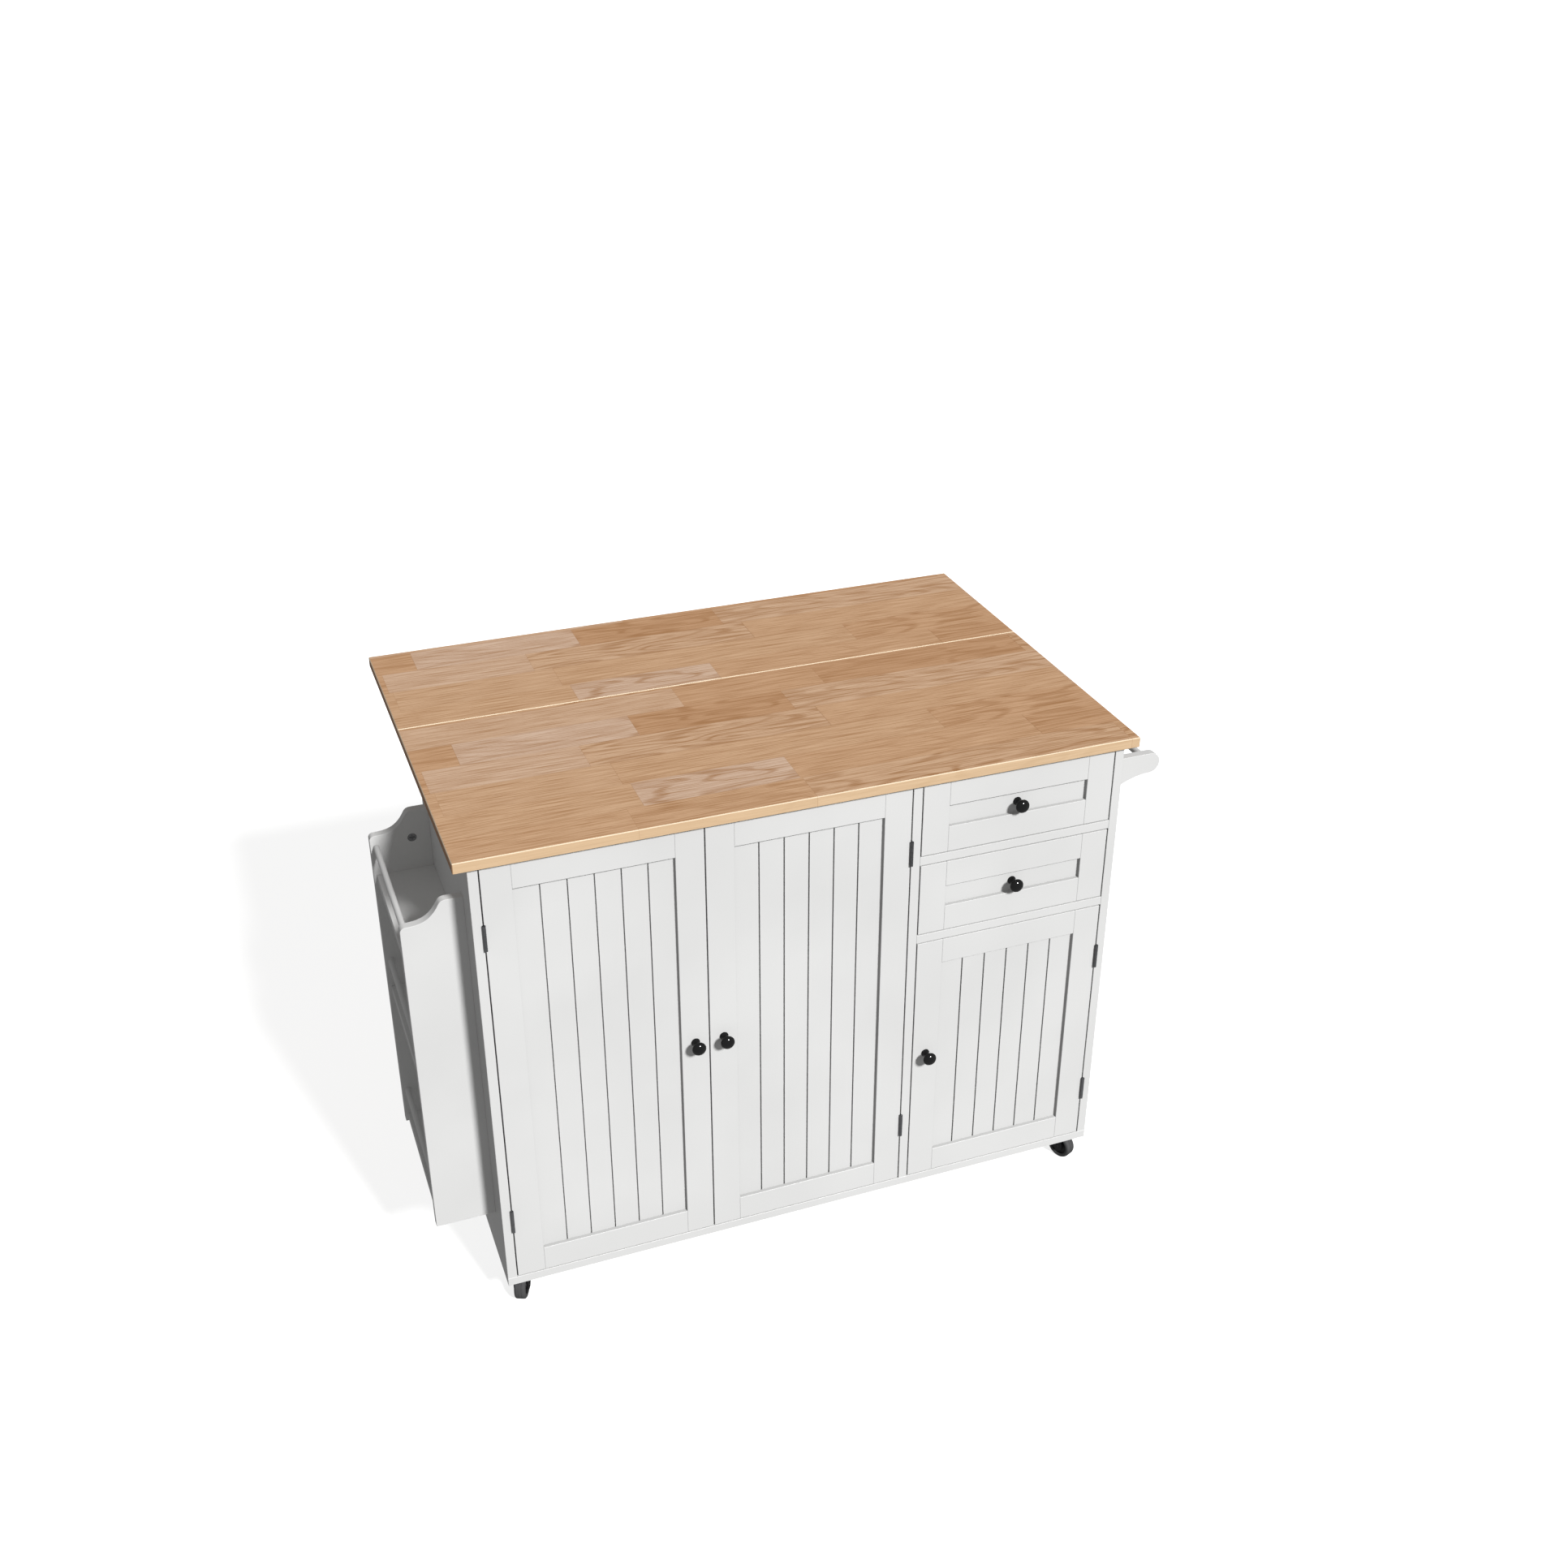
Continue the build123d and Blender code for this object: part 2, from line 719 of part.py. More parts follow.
def make_catch(x, z_ceiling):
    half = catch_size[0] / 2
    y0 = y_front + front_thickness + strike_size[1] + catch_gap
    low = (x - half, y0, z_ceiling - catch_size[2])
    return make_board(low, (x + half, y0 + catch_size[1], z_ceiling))


def make_strike(x, z_ceiling):
    half = strike_size[0] / 2
    y0 = y_front + front_thickness
    z_middle = z_ceiling - catch_size[2] / 2
    low = (x - half, y0, z_middle - strike_size[2] / 2)
    return make_board(low, (x + half, y0 + strike_size[1], z_middle + strike_size[2] / 2), ease=thin_ease)


tall_height = z_front_top - z_door_bottom
x_door_1 = x_bay_left + reveal
x_door_2 = x_door_1 + tall_door_width + reveal
x_door_3 = x_bay_right + reveal
z_stretcher = z_top - board
z_tall_knob = z_door_bottom + tall_height / 2
z_right_knob = z_base + right_knob_height
# name, left edge, width, top, hinge side, hinge distance from the ends, knob height, catch ceiling
doors = (
    ("door_left", x_door_1, tall_door_width, z_front_top, -1, tall_hinge_distance, z_tall_knob, z_stretcher),
    ("door_middle", x_door_2, tall_door_width, z_front_top, 1, tall_hinge_distance, z_tall_knob, z_stretcher),
    (
        "door_right",
        x_door_3,
        right_front_width,
        z_right_door_top,
        1,
        short_hinge_distance,
        z_right_knob,
        lower_rail_bottom,
    ),
)
hole_radius = knob_screw_radius + knob_screw_clearance
case_hinges = []
catches = []
for name, x0, width, z1, side, hinge_distance, knob_z, ceiling in doors:
    x1 = x0 + width
    z0 = z_door_bottom
    hinge_x = x1 + reveal / 2 if side > 0 else x0 - reveal / 2
    free_x = x0 if side > 0 else x1
    knob_x = free_x + side * frame_width / 2
    catch_x = free_x + side * catch_distance
    knob_hole = ((knob_x, y_front, knob_z), (0, 1, 0), hole_radius, front_thickness)
    plate_shift = side * (reveal / 2 - hinge_plate / 2)
    hinge_zs = (z0 + hinge_distance, z1 - hinge_distance)
    group(name + "_frame", make_frame(x0, x1, z0, z1, [knob_hole]))
    save(make_panel(x0, x1, z0, z1, beads), name + "_panel")
    group(name + "_knob", make_knob(knob_x, y_front, knob_z, front_thickness))
    moving = [make_hinge_half(hinge_x, hinge_x - plate_shift, z, 1) for z in hinge_zs]
    group(name + "_hardware", moving + [make_strike(catch_x, ceiling)])
    for z in hinge_zs:
        case_hinges.append(make_hinge_half(hinge_x, hinge_x + plate_shift, z, 0))
        case_hinges.append(make_hinge_pin(hinge_x, z))
    catches.append(make_catch(catch_x, ceiling))
group("door_hinge_case_halves", case_hinges)
group("door_catches", catches)


# ---- Drawers on side runners

def make_runner(x_wall, side, z_middle, half_height, y0):
    # A C-shaped runner: x_wall is the face it is screwed to, side the way it opens
    x_open = x_wall + side * runner_reach
    x_cut = x_wall + side * runner_wall
    y1 = y0 + runner_length
    low_x, high_x = sorted((x_wall, x_open))
    cut_low, cut_high = sorted((x_cut, x_open))
    inside = half_height - runner_wall
    with BuildPart() as runner:
        block((low_x, y0, z_middle - half_height), (high_x, y1, z_middle + half_height))
        block((cut_low, y0, z_middle - inside), (cut_high, y1, z_middle + inside), Mode.SUBTRACT)
    return runner.part


x_box_0 = x_bay_right + runner_space
x_box_1 = x_bay_end - runner_space
y_box_0 = y_front + front_thickness
y_box_1 = y_box_0 + drawer_box_depth
drawer_middle_x = (x_bay_right + x_bay_end) / 2
case_runners = []
for name, z0 in (("drawer_upper", upper_drawer_bottom), ("drawer_lower", lower_drawer_bottom)):
    x0 = x_door_3
    x1 = x0 + right_front_width
    z1 = z0 + drawer_front_height
    box_z0 = z0 + drawer_box_lift
    box_z1 = box_z0 + drawer_box_height
    knob_z = (z0 + z1) / 2
    knob_y = y_front + panel_recess
    knob_hole = ((drawer_middle_x, knob_y, knob_z), (0, 1, 0), hole_radius, rail_depth)
    panel = make_panel(x0, x1, z0, z1, 1, [knob_hole])
    group(name + "_front", make_frame(x0, x1, z0, z1) + [panel])
    behind = front_thickness - panel_recess + drawer_wall
    group(name + "_knob", make_knob(drawer_middle_x, knob_y, knob_z, behind))

    inner_x0 = x_box_0 + drawer_wall
    inner_x1 = x_box_1 - drawer_wall
    front_y = y_box_0 + drawer_wall
    rear_y = y_box_1 - drawer_wall
    floor_z0 = box_z0 + drawer_bottom_lift
    floor_z1 = floor_z0 + drawer_bottom
    floor_low = (inner_x0 - drawer_groove, front_y - drawer_groove, floor_z0)
    floor_high = (inner_x1 + drawer_groove, rear_y + drawer_groove, floor_z1)
    floor = [(floor_low, floor_high)]
    box = [
        make_board((x_box_0, y_box_0, box_z0), (inner_x0, y_box_1, box_z1), floor),
        make_board((inner_x1, y_box_0, box_z0), (x_box_1, y_box_1, box_z1), floor),
        make_board((inner_x0, y_box_0, box_z0), (inner_x1, front_y, box_z1), floor, [knob_hole]),
        make_board((inner_x0, rear_y, box_z0), (inner_x1, y_box_1, box_z1), floor),
        make_board(floor_low, floor_high, ease=edge_ease / 2),
    ]
    group(name + "_box", box)

    runner_z = (box_z0 + box_z1) / 2
    runner_y = y_box_0 + reveal
    inner_half = runner_height / 2 - runner_wall - runner_gap
    group(
        name + "_runners",
        [
            make_runner(x_box_0, -1, runner_z, inner_half, runner_y),
            make_runner(x_box_1, 1, runner_z, inner_half, runner_y),
        ],
    )
    case_runners.append(make_runner(x_bay_right, 1, runner_z, runner_height / 2, runner_y))
    case_runners.append(make_runner(x_bay_end, -1, runner_z, runner_height / 2, runner_y))
group("drawer_case_runners", case_runners)

# ---- Spice rack on the left side

y_rack_front = y_front + rack_front_setback
y_rack_inner = y_rack_front + rack_panel
y_rack_rear = y_rack_inner + rack_inner_length
z_rack = z_base + rack_bottom
rack_height = rack_high_end - rack_bottom
rod_zs = [z_base + top + rod_above_shelf for top in rack_shelf_tops]
rod_x = x_left - rack_projection + rod_inset
cam_zs = (z_rack + cam_from_ends, z_base + rack_high_end - cam_from_ends)
cam_x = x_left - cam_distance


def make_rack_panel(y0, inner_y, inward):
    # An upright whose top edge falls from the cabinet in an S curve to a rounded corner
    p = rack_projection
    h = rack_height
    low = rack_low_end - rack_bottom
    rise = h - low
    with BuildPart() as panel:
        plane = Plane(origin=(x_left, y0, z_rack), x_dir=(-1, 0, 0), z_dir=(0, 1, 0))
        with BuildSketch(plane):
            with BuildLine():
                Line((0, 0), (p, 0))
                Line((p, 0), (p, low - rack_corner))
                RadiusArc((p, low - rack_corner), (p - rack_corner, low), -rack_corner)
                Spline(
                    (p - rack_corner, low),
                    *[(out, low + share * rise) for out, share in rack_curve],
                    (rack_flat_top, h),
                    tangents=[(-1, 0), (-1, 0)],
                )
                Line((rack_flat_top, h), (0, h))
                Line((0, h), (0, 0))
            make_face()
        extrude(amount=rack_panel)
        chamfer(panel.faces().filter_by(Axis.Y).edges(), edge_ease)
        for z in rod_zs:
            rod((rod_x, inner_y, z), inward, rod_radius + rod_clearance, rod_seat, Mode.SUBTRACT)
        for z in cam_zs:
            radius = cam_radius + cam_clearance
            rod((cam_x, inner_y, z), inward, radius, cam_depth + cam_recess, Mode.SUBTRACT)
    return panel.part


def make_cam(z, inner_y, inward):
    face_y = inner_y + inward[1] * cam_recess
    out = (0, -inward[1], 0)
    with BuildPart() as cam:
        rod((cam_x, face_y, z), inward, cam_radius, cam_depth)
        for width, length in ((cam_slot_width, cam_slot_length), (cam_slot_length, cam_slot_width)):
            slot_y0, slot_y1 = sorted((face_y - out[1] * cam_slot_depth, face_y))
            low = (cam_x - width / 2, slot_y0, z - length / 2)
            block(low, (cam_x + width / 2, slot_y1, z + length / 2), Mode.SUBTRACT)
        rim = cam.faces().sort_by(Axis((cam_x, face_y, z), out))[-1]
        chamfer(rim.outer_wire().edges(), cam_ease)
    return cam.part


save(make_rack_panel(y_rack_front, y_rack_inner, (0, -1, 0)), "rack_panel_front")
save(make_rack_panel(y_rack_rear, y_rack_rear, (0, 1, 0)), "rack_panel_rear")
x_rack_shelf = x_left - rack_projection + rack_shelf_inset
for name, top in zip(("lower", "middle", "upper"), rack_shelf_tops):
    z = z_base + top
    low = (x_rack_shelf, y_rack_inner, z - rack_shelf)
    save(make_board(low, (x_left, y_rack_rear, z)), f"rack_shelf_{name}")
rack_rods = [
    make_rod(
        (rod_x, y_rack_inner - rod_seat, z),
        (0, 1, 0),
        rod_radius,
        rack_inner_length + 2 * rod_seat,
    )
    for z in rod_zs
]
group("rack_rods", rack_rods)
rack_cams = [
    make_cam(z, inner_y, inward)
    for z in cam_zs
    for inner_y, inward in ((y_rack_inner, (0, -1, 0)), (y_rack_rear, (0, 1, 0)))
]
group("rack_cam_locks", rack_cams)

# ---- Towel bar on the right side

y_towel_front = y_front + towel_front_setback
y_towel_inner = y_towel_front + towel_bracket
y_towel_rear = y_towel_inner + towel_span
towel_tip = towel_projection - towel_tip_radius
z_towel = z_top - towel_drop
z_towel_bar = z_towel - towel_tip_radius


def make_towel_bracket(y0, inner_y, inward):
    # A bracket with a flat top, a round end and an underside that sweeps down to the wall
    r = towel_tip_radius
    deep = towel_wall_height
    out, share = towel_curve
    with BuildPart() as bracket:
        plane = Plane(origin=(x_right, y0, z_towel), x_dir=(1, 0, 0), z_dir=(0, -1, 0))
        with BuildSketch(plane):
            with BuildLine():
                Line((0, 0), (towel_tip, 0))
                ThreePointArc((towel_tip, 0), (towel_projection, -r), (towel_tip, -2 * r))
                Spline(
                    (towel_tip, -2 * r),
                    (out, -2 * r - (deep - 2 * r) * share),
                    (0, -deep),
                    tangents=[(-1, 0), (-0.87, -0.5)],
                )
                Line((0, -deep), (0, 0))
            make_face()
        extrude(amount=-towel_bracket)
        chamfer(bracket.faces().filter_by(Axis.Y).edges(), edge_ease)
        start = (x_right + towel_tip, inner_y, z_towel_bar)
        radius = towel_bar_radius + towel_bar_clearance
        rod(start, inward, radius, towel_bar_seat, Mode.SUBTRACT)
    return bracket.part


towel_brackets = [
    make_towel_bracket(y_towel_front, y_towel_inner, (0, -1, 0)),
    make_towel_bracket(y_towel_rear, y_towel_rear, (0, 1, 0)),
]
group("towel_brackets", towel_brackets)
bar_start = (x_right + towel_tip, y_towel_inner - towel_bar_seat, z_towel_bar)
bar_length = towel_span + 2 * towel_bar_seat
save(make_rod(bar_start, (0, 1, 0), towel_bar_radius, bar_length), "towel_bar")

# ---- Casters

z_plate = z_base - caster_plate_size[2]
z_race = z_plate - race_height
z_fork = z_race - fork_gap
z_kingpin = z_fork - fork_top - fork_gap - kingpin_head
z_axle = wheel_radius
axle_fall = z_axle - z_base
cheek_inner = wheel_width / 2 + wheel_side_gap
cheek_outer = cheek_inner + cheek
wheel_space = wheel_radius + wheel_rim_gap
turn = math.radians(caster_turn)


def make_caster_plate(x, y):
    # Top plate, bearing race and the kingpin that carries the fork
    a, b, c = caster_plate_size
    with BuildPart() as plate:
        block((x - a / 2, y - b / 2, z_plate), (x + a / 2, y + b / 2, z_base))
        fillet(plate.edges().filter_by(Axis.Z), caster_plate_corner)
        rod((x, y, z_race), (0, 0, 1), race_radius, race_height)
        rod((x, y, z_kingpin), (0, 0, 1), kingpin_radius, z_race - z_kingpin)
        rod((x, y, z_kingpin), (0, 0, 1), kingpin_head_radius, kingpin_head)
    return plate.part


def make_fork(plane, x, y):
    # A moulded fork: two cheeks joined over the wheel, hung from the kingpin
    shoulder = z_fork - z_base - fork_head_round
    with BuildPart() as fork:
        with BuildSketch(plane.offset(-cheek_outer)):
            with Locations((caster_trail, axle_fall)):
                Circle(fork_boss_radius)
            with Locations((-fork_head_reach, shoulder), (caster_trail, shoulder)):
                Circle(fork_head_round)
            make_hull()
        extrude(amount=2 * cheek_outer)
        rod((x, y, z_fork), (0, 0, -1), race_radius + fork_crown_margin, fork_top)
        with BuildSketch(plane.offset(-cheek_inner)):
            with Locations((caster_trail, axle_fall)):
                Circle(wheel_space)
        extrude(amount=2 * cheek_inner, mode=Mode.SUBTRACT)
        rod((x, y, z_fork), (0, 0, -1), kingpin_radius + axle_clearance, fork_top, Mode.SUBTRACT)
        rod((x, y, z_fork - fork_top), (0, 0, -1), kingpin_head_radius + fork_gap, z_fork, Mode.SUBTRACT)
        with BuildSketch(plane.offset(-cheek_outer)):
            with Locations((caster_trail, axle_fall)):
                Circle(axle_radius)
        extrude(amount=2 * cheek_outer, mode=Mode.SUBTRACT)
    return fork.part


def make_axle(plane):
    with BuildPart() as axle:
        for start, radius, length in (
            (-cheek_outer, axle_radius, 2 * cheek_outer),
            (-cheek_outer - axle_head, axle_head_radius, axle_head),
            (cheek_outer, axle_head_radius, axle_head),
        ):
            with BuildSketch(plane.offset(start)):
                with Locations((caster_trail, axle_fall)):
                    Circle(radius)
            extrude(amount=length)
    return axle.part


def make_wheel(plane):
    with BuildPart() as wheel:
        with BuildSketch(plane.offset(-wheel_width / 2)):
            with Locations((caster_trail, axle_fall)):
                Circle(wheel_radius)
                Circle(axle_radius + axle_clearance, mode=Mode.SUBTRACT)
        extrude(amount=wheel_width)
        rims = wheel.edges().filter_by(GeomType.CIRCLE).group_by(SortBy.RADIUS)[-1]
        fillet(rims, wheel_edge)
    return wheel.part


corners = (
    ("front_left", -1, -1),
    ("front_right", 1, -1),
    ("rear_left", -1, 1),
    ("rear_right", 1, 1),
)
caster_plates = []
for name, side_x, side_y in corners:
    x = x_left + caster_inset_x if side_x < 0 else x_right - caster_inset_x
    y = y_front + caster_inset_y if side_y < 0 else y_back - caster_inset_y
    trail = (side_x * math.cos(turn), side_y * math.sin(turn), 0)
    axle_line = (trail[1], -trail[0], 0)
    plane = Plane(origin=(x, y, z_base), x_dir=trail, z_dir=axle_line)
    caster_plates.append(make_caster_plate(x, y))
    group(f"caster_fork_{name}", [make_fork(plane, x, y), make_axle(plane)])
    save(make_wheel(plane), f"caster_wheel_{name}")
group("caster_plates", caster_plates)

print(
    f"support braces: {brace_rest_angle:.2f} degrees from upright with the leaf raised,"
    f" {brace_folded_angle:.2f} with it down, {brace_ratio:.4f} degrees for each degree of the leaf"
)
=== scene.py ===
import json
import math

import bpy
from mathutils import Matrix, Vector


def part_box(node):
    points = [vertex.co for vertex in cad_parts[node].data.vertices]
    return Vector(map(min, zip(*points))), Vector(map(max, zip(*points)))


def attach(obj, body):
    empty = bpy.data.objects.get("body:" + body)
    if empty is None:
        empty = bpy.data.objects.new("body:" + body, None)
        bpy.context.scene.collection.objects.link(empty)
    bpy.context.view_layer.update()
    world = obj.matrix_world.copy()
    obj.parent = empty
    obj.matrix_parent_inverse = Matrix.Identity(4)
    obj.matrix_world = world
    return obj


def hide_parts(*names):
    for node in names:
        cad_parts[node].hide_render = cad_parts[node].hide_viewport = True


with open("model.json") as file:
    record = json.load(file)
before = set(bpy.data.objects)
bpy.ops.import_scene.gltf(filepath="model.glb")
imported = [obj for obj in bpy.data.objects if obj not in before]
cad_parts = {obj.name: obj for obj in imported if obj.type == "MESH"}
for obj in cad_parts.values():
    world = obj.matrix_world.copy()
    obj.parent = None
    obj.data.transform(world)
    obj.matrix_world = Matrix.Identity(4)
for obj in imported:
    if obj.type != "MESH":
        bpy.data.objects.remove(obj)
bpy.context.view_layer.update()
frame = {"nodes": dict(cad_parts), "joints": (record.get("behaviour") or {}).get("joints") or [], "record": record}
record = frame["record"]
nodes = frame["nodes"]
slotOf = {part["node"]: part["material_slot"] for part in record["subparts"]}
bodyOf = {node: body for body, names in record["behaviour"]["bodies"].items() for node in names}
jointNamed = {joint["name"]: joint for joint in frame["joints"]}
mm = 0.001
noiseLow, noiseHigh = 0.3, 0.7          # nearly all of a noise lies between these
cloudLow, cloudHigh = 0.35, 0.65        # a cloud turns from its first tone to its second here
print("frame loaded:", len(nodes), "nodes")


def linear(hexColor):
    # sRGB hex to the linear values that a shader works with
    values = [int(hexColor[i:i + 2], 16) / 255 for i in (1, 3, 5)]
    return [v / 12.92 if v <= 0.04045 else ((v + 0.055) / 1.055) ** 2.4 for v in values] + [1.0]


def addNode(tree, kind, settings, inputs):
    # An input takes a number, a hex colour, a socket, or a node whose first output it uses
    node = tree.nodes.new(kind)
    for name, value in settings.items():
        if name == "stops":
            points = node.color_ramp.elements
            while len(points) < len(value):
                points.new(1.0)
            for point, (position, color) in zip(points, value):
                point.position = position
                point.color = linear(color)
        else:
            setattr(node, name, value)
    for key, value in inputs.items():
        if isinstance(value, bpy.types.Node):
            value = value.outputs[0]
        if isinstance(value, bpy.types.NodeSocket):
            tree.links.new(value, node.inputs[key])
        else:
            node.inputs[key].default_value = linear(value) if isinstance(value, str) else value
    return node


def startMaterial(name):
    material = bpy.data.materials.new(name)
    material.use_nodes = True
    material.node_tree.nodes.clear()
    return material, material.node_tree, addNode(material.node_tree, "ShaderNodeTexCoord", {}, {})


paint = {
    "colors": ("#E7E7E6", "#EDEDEC"),
    "cloud": 280 * mm,                  # across one soft cloud of tone
    "peel": 1.6 * mm,                   # drawn coarser than real orange peel, so that it shows
    "peelDepth": 0.03 * mm,
    "peelBump": 0.3,
    "roughness": (0.36, 0.46),
    "ior": 1.5,
}


def makeSatinLacquer():
    # Sprayed satin lacquer on fibreboard: a soft highlight that slight orange peel breaks up
    material, tree, coords = startMaterial("satinLacquerOnFibreboard")
    place = coords.outputs["Object"]
    cloud = addNode(tree, "ShaderNodeTexNoise", {},
                    {"Vector": place, "Scale": 1 / paint["cloud"], "Detail": 3.0})
    peel = addNode(tree, "ShaderNodeTexNoise", {},
                   {"Vector": place, "Scale": 1 / paint["peel"], "Detail": 2.0})
    first, second = paint["colors"]
    color = addNode(tree, "ShaderNodeValToRGB",
                    {"stops": ((cloudLow, first), (cloudHigh, second))}, {"Fac": cloud})
    low, high = paint["roughness"]
    roughness = addNode(tree, "ShaderNodeMapRange", {},
                        {0: peel, 1: noiseLow, 2: noiseHigh, 3: low, 4: high})
    bump = addNode(tree, "ShaderNodeBump", {},
                   {"Strength": paint["peelBump"], "Distance": paint["peelDepth"], "Height": peel})
    shader = addNode(tree, "ShaderNodeBsdfPrincipled", {}, {
        "Base Color": color, "Roughness": roughness, "Normal": bump, "IOR": paint["ior"]})
    addNode(tree, "ShaderNodeOutputMaterial", {}, {"Surface": shader})
    return material


block = {
    "row": 77 * mm,                     # width of one stave
    "trim": 9 * mm,                     # off the first row, so that no glue line falls on the front edge
    "length": 380 * mm,                 # middling length of one stave
    "uneven": 0.24,                     # how much the lengths differ
    "unevenRate": 2.1,                  # radians that this swings through in one stave
    "stagger": 9.0,                     # stave lengths by which a row may be shifted
    "apart": (7, 7, 7),                 # metres between the parts of the tree that staves come from
    "tones": ("#D7A87F", "#E4B890", "#E8BF98", "#EED0B8"),
    "grain": "#B68356",
    "edgeTone": "#E9CBA4",
    "edgeShare": 0.75,
    "arrisPaleAndHighlight": "#FBE9CC",                 # the sanded edges, where pale wood shows, with a painted highlight along them
    "arrisHighlightFrom": (0.05, 0.15),
    "arrisHighlightShare": 0.8,
    # darker end grain plus painted shade, laid on both ends of the top
    "endGrainAndShadeTone": "#A0704A",
    "endGrainAndShadeShare": 0.65,
    "facing": (0.55, 0.75),             # how squarely a face must look out to count as an edge or an end
    "glue": "#A87750",
    "glueShare": 0.45,
    "glueWidth": 0.7 * mm,              # drawn wider than a real glue line, so that it shows
    "swell": (260 * mm, 46 * mm, 46 * mm),      # along and across one slow swell of the rings
    "rings": 7.0,                       # growth rings over one swell
    "waver": 0.35,                      # how far the rings wander
    "ringFrom": 0.1,                    # height of its wave at which a ring line begins
    "ringShare": 0.50,
    "plain": 0.15,                      # how much of that figure the plainest stave shows
    "figuredFrom": 0.4,                 # below this draw a stave is as plain as that
    "streak": (90 * mm, 1.7 * mm, 1.7 * mm),
    "streakFrom": (0.42, 0.66),         # noise at which a streak begins and is full
    "streakShare": 0.8,
    "pore": (14 * mm, 0.8 * mm, 0.8 * mm),
    "poreFrom": (0.62, 0.72),
    "poreShare": 0.35,
    "poreDepth": 0.06 * mm,
    "poreBump": 0.35,
    "roughness": (0.50, 0.62),
    "gloss": 0.35,                      # oil fills the pores but leaves little shine
    "ior": 1.5,
}


def makeButcherBlock(name, start):
    # Edge-glued hardwood staves under oil: straight and cathedral grain that changes from stave to stave
    material, tree, coords = startMaterial(name)
    place = addNode(tree, "ShaderNodeMapping", {}, {"Vector": coords.outputs["Object"], "Location": start})
    axes = addNode(tree, "ShaderNodeSeparateXYZ", {}, {0: place})
    across = addNode(tree, "ShaderNodeMath", {"operation": "DIVIDE"}, {0: axes.outputs["Y"], 1: block["row"]})
    row = addNode(tree, "ShaderNodeMath", {"operation": "FLOOR"}, {0: across})
    rowChance = addNode(tree, "ShaderNodeTexWhiteNoise", {"noise_dimensions": "1D"}, {"W": row})
    along = addNode(tree, "ShaderNodeMath", {"operation": "DIVIDE"},
                    {0: axes.outputs["X"], 1: block["length"]})
    along = addNode(tree, "ShaderNodeMath", {"operation": "MULTIPLY_ADD"},
                    {0: rowChance, 1: block["stagger"], 2: along})
    swing = addNode(tree, "ShaderNodeMath", {"operation": "MULTIPLY_ADD"},
                    {0: along, 1: block["unevenRate"], 2: row})
    swing = addNode(tree, "ShaderNodeMath", {"operation": "SINE"}, {0: swing})
    along = addNode(tree, "ShaderNodeMath", {"operation": "MULTIPLY_ADD"},
                    {0: swing, 1: block["uneven"], 2: along})
    stave = addNode(tree, "ShaderNodeMath", {"operation": "FLOOR"}, {0: along})
    staveName = addNode(tree, "ShaderNodeCombineXYZ", {}, {0: stave, 1: row})
    chance = addNode(tree, "ShaderNodeTexWhiteNoise", {"noise_dimensions": "3D"}, {"Vector": staveName})

    # Each stave is cut from another part of the tree, so its grain starts elsewhere
    grainPlace = addNode(tree, "ShaderNodeVectorMath", {"operation": "MULTIPLY_ADD"},
                         {0: chance.outputs["Color"], 1: block["apart"], 2: place})
    swellPlace = addNode(tree, "ShaderNodeMapping", {},
                         {"Vector": grainPlace, "Scale": [1 / size for size in block["swell"]]})
    swell = addNode(tree, "ShaderNodeTexNoise", {},
                    {"Vector": swellPlace, "Scale": 1.0, "Detail": 1.0, "Distortion": block["waver"]})
    phase = addNode(tree, "ShaderNodeMath", {"operation": "MULTIPLY"},
                    {0: swell, 1: block["rings"] * math.tau})
    ringWave = addNode(tree, "ShaderNodeMath", {"operation": "SINE"}, {0: phase})
    ringLines = addNode(tree, "ShaderNodeMapRange", {},
                        {0: ringWave, 1: block["ringFrom"], 2: 1.0, 3: 0.0, 4: block["ringShare"]})
    figure = addNode(tree, "ShaderNodeSeparateColor", {}, {0: chance.outputs["Color"]})
    figured = addNode(tree, "ShaderNodeMapRange", {}, {
        0: figure.outputs["Green"], 1: block["figuredFrom"], 2: 1.0, 3: block["plain"], 4: 1.0})
    rings = addNode(tree, "ShaderNodeMath", {"operation": "MULTIPLY"}, {0: ringLines, 1: figured})
    streakPlace = addNode(tree, "ShaderNodeMapping", {},
                          {"Vector": grainPlace, "Scale": [1 / size for size in block["streak"]]})
    streaks = addNode(tree, "ShaderNodeTexNoise", {}, {"Vector": streakPlace, "Scale": 1.0, "Detail": 5.0})
    begin, full = block["streakFrom"]
    streakShare = addNode(tree, "ShaderNodeMapRange", {},
                          {0: streaks, 1: begin, 2: full, 3: 0.0, 4: block["streakShare"]})
    porePlace = addNode(tree, "ShaderNodeMapping", {},
                        {"Vector": grainPlace, "Scale": [1 / size for size in block["pore"]]})
    pores = addNode(tree, "ShaderNodeTexNoise", {}, {"Vector": porePlace, "Scale": 1.0, "Detail": 1.0})
    begin, full = block["poreFrom"]
    poreShare = addNode(tree, "ShaderNodeMapRange", {},
                        {0: pores, 1: begin, 2: full, 3: 0.0, 4: block["poreShare"]})

    tones = block["tones"]
    tone = addNode(tree, "ShaderNodeValToRGB",
                   {"stops": [(k / (len(tones) - 1), color) for k, color in enumerate(tones)]},
                   {"Fac": chance})
    grainShare = addNode(tree, "ShaderNodeMath", {"operation": "ADD"}, {0: rings, 1: streakShare})
    grained = addNode(tree, "ShaderNodeMix", {"data_type": "RGBA"},
                      {0: grainShare, 6: tone, 7: block["grain"]})
    pored = addNode(tree, "ShaderNodeMix", {"data_type": "RGBA"},
                    {0: poreShare, 6: grained.outputs[2], 7: block["glue"]})
